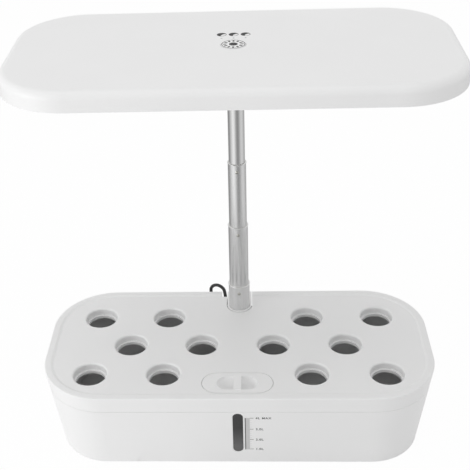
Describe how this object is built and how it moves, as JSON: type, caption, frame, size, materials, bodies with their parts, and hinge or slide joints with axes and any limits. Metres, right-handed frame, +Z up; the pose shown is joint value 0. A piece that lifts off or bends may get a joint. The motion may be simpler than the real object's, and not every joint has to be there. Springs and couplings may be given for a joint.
{
  "type": "countertop hydroponic garden",
  "caption": "Water tank with a planting deck of round pod holes, a filler cap and a level window, under a flat grow lamp on a telescopic mast.",
  "frame": {"origin": "on the table, under the middle of the base", "axes": "+Z up, -Y to the front with the level window, +X to the viewer's right"},
  "size_m": [0.398, 0.2597, 0.4193],
  "materials": {
    "white_abs": "satin white moulded plastic",
    "grey_pp": "matt off-white moulded plastic",
    "smoked_pane": "polished smoked plastic",
    "black_rubber": "matt rubber",
    "bright_steel": "bright drawn stainless tube",
    "screw_steel": "zinc plated",
    "white_pom": "smooth natural acetal",
    "pump_plastic": "fine matt black",
    "shaft_ceramic": "ground white ceramic",
    "cord_pvc": "soft black cable jacket",
    "black_abs": "fine texture black",
    "plated_brass": "nickel plated",
    "frosted_cover": "frosted diffuser",
    "white_board": "white lacquered board",
    "led_phosphor": "yellow phosphor",
    "green_board": "lacquered circuit board",
    "clear_light": "clear light pipe",
    "silicone": "translucent silicone"
  },
  "bodies": {
    "base": {"base_shell": "white_abs", "inner_tank": "grey_pp", "level_window": "smoked_pane", "window_gasket": "black_rubber", "rubber_feet": "black_rubber", "mast_socket": "white_abs", "socket_screws": "screw_steel", "mast_tube_1": "bright_steel", "guide_bush_1": "white_pom", "bush_rivet_1": "screw_steel", "pump_body": "pump_plastic", "pump_cover": "pump_plastic", "pump_shaft": "shaft_ceramic", "pump_feet": "black_rubber", "pump_lead": "cord_pvc", "cord_gland": "black_rubber", "power_cord": "cord_pvc", "cord_coil": "cord_pvc", "cord_tie": "cord_pvc", "power_adapter": "black_abs", "adapter_relief": "cord_pvc", "adapter_pins": "plated_brass"},
    "pump_rotor": {"pump_impeller": "white_pom"},
    "deck": {"deck": "white_abs"},
    "cap": {"filler_cap": "white_abs", "cap_seal": "black_rubber"},
    "mast_stage_2": {"mast_tube_2": "bright_steel", "slide_foot_2": "white_pom", "guide_bush_2": "white_pom", "bush_rivet_2": "screw_steel"},
    "mast_stage_3": {"mast_tube_3": "bright_steel", "slide_foot_3": "white_pom", "guide_bush_3": "white_pom", "bush_rivet_3": "screw_steel"},
    "lamp": {"mast_tube_4": "bright_steel", "slide_foot_4": "white_pom", "mast_head": "white_abs", "head_screws": "screw_steel", "lamp_housing": "white_abs", "lamp_cover": "frosted_cover", "cover_screws": "screw_steel", "led_board": "white_board", "leds": "led_phosphor", "board_screws": "screw_steel", "control_board": "green_board", "switch_dome": "screw_steel", "button_dome": "silicone", "indicator_lights": "clear_light"},
    "button": {"mode_button": "white_abs"}
  },
  "joints": [
    {"name": "impeller_spin", "type": "hinge", "parent": "base", "child": "pump_rotor", "pos_m": [0, 0.022, 0.0213], "axis": [1, 0, 0], "continuous": true},
    {"name": "deck_lift", "type": "slide", "parent": "base", "child": "deck", "axis": [0, 0, 1], "range_m": [0, 0.06]},
    {"name": "cap_lift", "type": "slide", "parent": "deck", "child": "cap", "axis": [0, 0, 1], "range_m": [0, 0.025]},
    {"name": "mast_slide_2", "type": "slide", "parent": "base", "child": "mast_stage_2", "axis": [0, 0, 1], "range_m": [-0.062, 0]},
    {"name": "mast_slide_3", "type": "slide", "parent": "mast_stage_2", "child": "mast_stage_3", "axis": [0, 0, 1], "range_m": [-0.062, 0]},
    {"name": "mast_slide_4", "type": "slide", "parent": "mast_stage_3", "child": "lamp", "axis": [0, 0, 1], "range_m": [-0.07, 0]},
    {"name": "button_press", "type": "slide", "parent": "lamp", "child": "button", "axis": [0, 0, 1], "range_m": [-0.001, 0], "stiffness_N_per_m": 1200, "springref_m": 0.0003, "deforming": ["button_dome"]}
  ]
}
